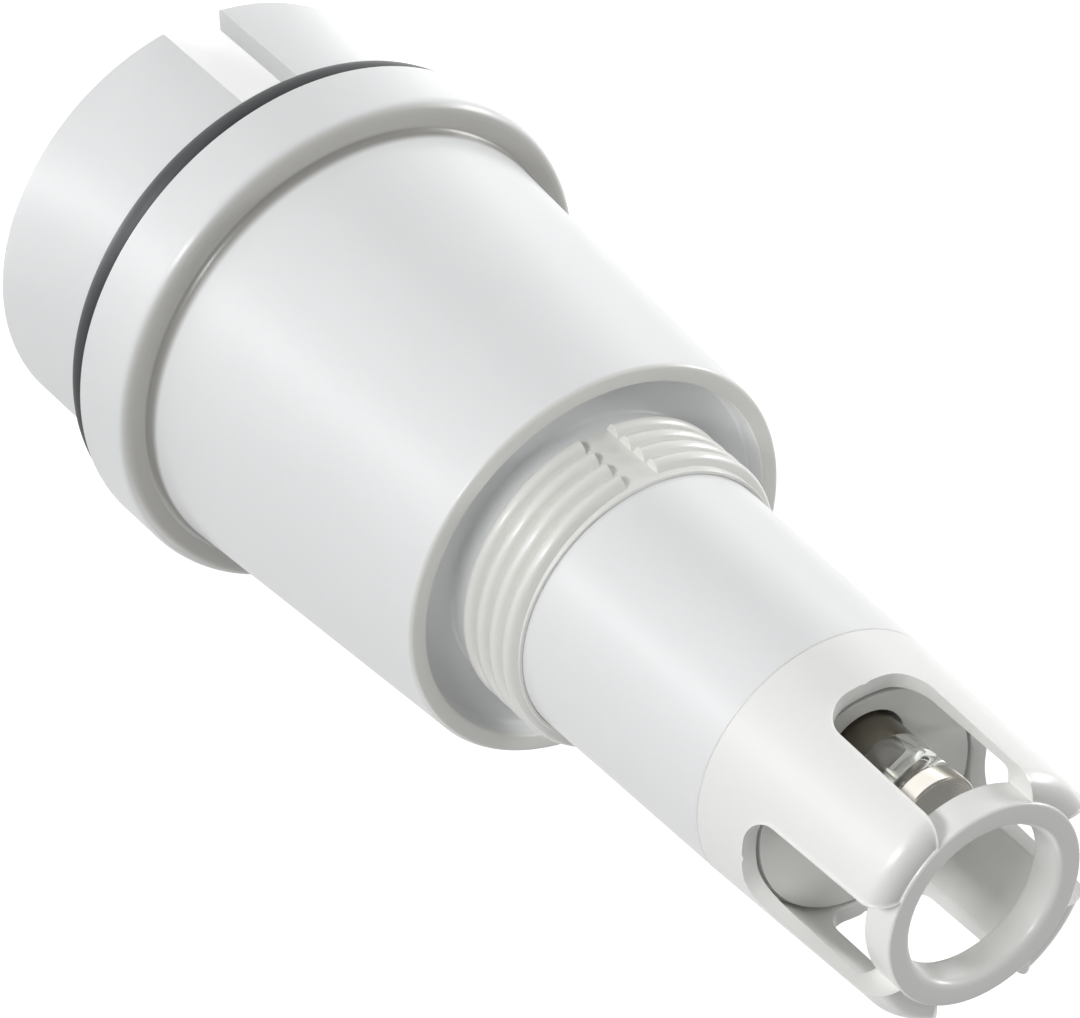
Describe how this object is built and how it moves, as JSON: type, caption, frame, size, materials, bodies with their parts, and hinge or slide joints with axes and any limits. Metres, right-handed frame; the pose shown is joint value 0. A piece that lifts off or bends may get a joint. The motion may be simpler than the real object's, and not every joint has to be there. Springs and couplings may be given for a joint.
{
  "type": "redox electrode",
  "caption": "Plug-in redox electrode of a pocket tester: slotted skirt, sealed flange, threaded neck, tube and open guard cage round a platinum-tipped glass stem.",
  "frame": {"origin": "centre of the skirt's end face, at the bottom of the part, which stands on it", "axes": "+Z along the axis from the skirt end to the guard tip; -Y towards the keyed slot, the window and the thread gap that the picture shows; +X to the right seen from -Y"},
  "size_m": [0.0314, 0.0314, 0.0754],
  "materials": {
    "housing_white": "gloss",
    "seal_black": "satin",
    "tube_white": "gloss",
    "gasket_grey": "matte",
    "clip_steel": "satin",
    "guard_white": "gloss",
    "plug_grey": "satin",
    "grommet_brown": "matte",
    "clear_glass": "gloss",
    "platinum": "polished",
    "wire_silver": "polished",
    "fill_brown": "gloss",
    "junction_ceramic": "matte",
    "chloride_grey": "matte",
    "gel_clear": "gloss",
    "stopper_grey": "matte",
    "potting_black": "gloss",
    "board_green": "satin",
    "carrier_black": "matte",
    "contact_gilt": "polished",
    "solder": "satin",
    "lead_red": "satin",
    "lead_blue": "satin"
  },
  "bodies": {
    "root": {"housing": "housing_white", "flange_seal": "seal_black", "electrode_tube": "tube_white", "shoulder_gasket": "gasket_grey", "retaining_clip": "clip_steel", "guard_cage": "guard_white", "end_plug": "plug_grey", "stem_grommet": "grommet_brown", "glass_stem": "clear_glass", "platinum_cap": "platinum", "signal_wire": "wire_silver", "stem_fill": "fill_brown", "reference_junction": "junction_ceramic", "reference_wire": "wire_silver", "chloride_coat": "chloride_grey", "reference_gel": "gel_clear", "chamber_stopper": "stopper_grey", "tube_potting": "potting_black", "contact_board": "board_green", "contact_carrier": "carrier_black", "contact_pins": "contact_gilt", "solder_joints": "solder", "signal_lead": "lead_red", "reference_lead": "lead_blue"}
  },
  "joints": []
}
